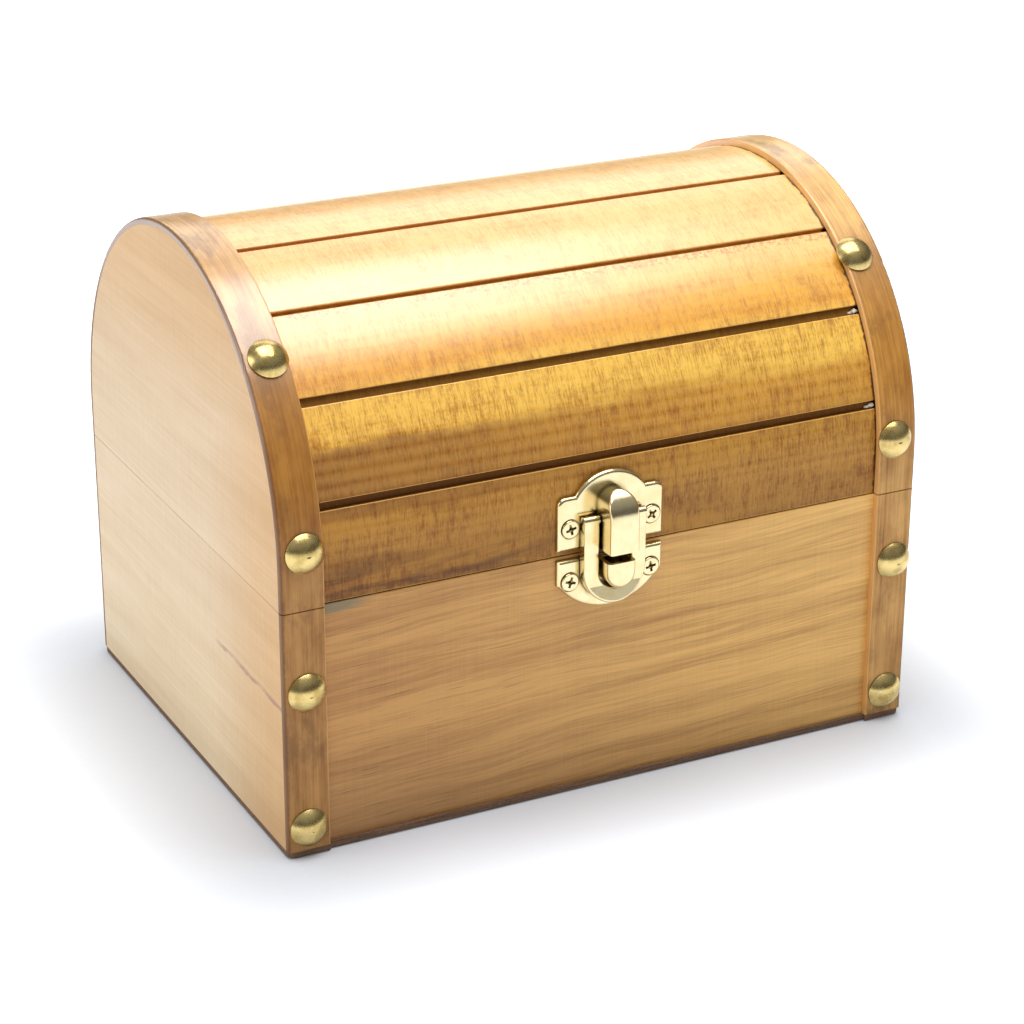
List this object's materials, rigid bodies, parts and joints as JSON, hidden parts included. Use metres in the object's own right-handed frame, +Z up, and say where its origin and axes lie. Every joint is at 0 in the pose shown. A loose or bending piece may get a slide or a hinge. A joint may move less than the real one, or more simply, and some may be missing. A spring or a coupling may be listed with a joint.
{
  "type": "wooden money box",
  "caption": "Small wooden chest money box with a grooved half-round hinged lid, nailed edge straps and a brass hasp latch.",
  "frame": {"origin": "middle of the footprint, on the surface that the box stands on", "axes": "+X along the box to the right seen from the front, -Y out of the front where the latch is, +Z up"},
  "size_m": [0.16, 0.1291, 0.128],
  "materials": {
    "lid_wood": "golden gloss varnish over pine, fine streaks around the curve",
    "base_wood": "satin varnish over pine, fine grain along the box",
    "end_wood": "pale satin varnish over pine, grain front to rear",
    "strap_wood": "satin varnish, smooth, warm brown",
    "bottom_sheet": "dark thin sheet, matt",
    "nail_brass": "polished, lightly aged",
    "latch_brass": "bright polished plating, pale champagne gold",
    "screw_brass": "bright plating",
    "hinge_brass": "plated sheet, satin",
    "hinge_pin_steel": "plain steel wire"
  },
  "bodies": {
    "base": {"base_end_left": "end_wood", "base_end_right": "end_wood", "base_front_panel": "base_wood", "base_rear_panel": "base_wood", "base_bottom_panel": "bottom_sheet", "base_strap_front_left": "strap_wood", "base_strap_front_right": "strap_wood", "base_strap_rear_left": "strap_wood", "base_strap_rear_right": "strap_wood", "base_strap_nails": "nail_brass", "latch_lower_plate": "latch_brass", "latch_lower_screws": "screw_brass", "hinge_left_base_leaf": "hinge_brass", "hinge_right_base_leaf": "hinge_brass", "hinge_left_pin": "hinge_pin_steel", "hinge_right_pin": "hinge_pin_steel", "hinge_base_screws": "screw_brass"},
    "lid": {"lid_end_left": "end_wood", "lid_end_right": "end_wood", "lid_cover": "lid_wood", "lid_front_rail": "lid_wood", "lid_rear_rail": "lid_wood", "lid_strap_left": "strap_wood", "lid_strap_right": "strap_wood", "lid_strap_nails": "nail_brass", "latch_upper_plate": "latch_brass", "latch_upper_screws": "screw_brass", "hinge_left_lid_leaf": "hinge_brass", "hinge_right_lid_leaf": "hinge_brass", "hinge_lid_screws": "screw_brass"},
    "hasp": {"latch_hasp": "latch_brass"}
  },
  "joints": [
    {"name": "lid_hinge", "type": "hinge", "parent": "base", "child": "lid", "pos_m": [0, 0.0602, 0.059], "axis": [-1, 0, 0], "range_deg": [0, 110]},
    {"name": "hasp_hinge", "type": "hinge", "parent": "lid", "child": "hasp", "pos_m": [-0.0007, -0.0609, 0.0673], "axis": [-1, 0, 0], "range_deg": [0, 150]}
  ]
}
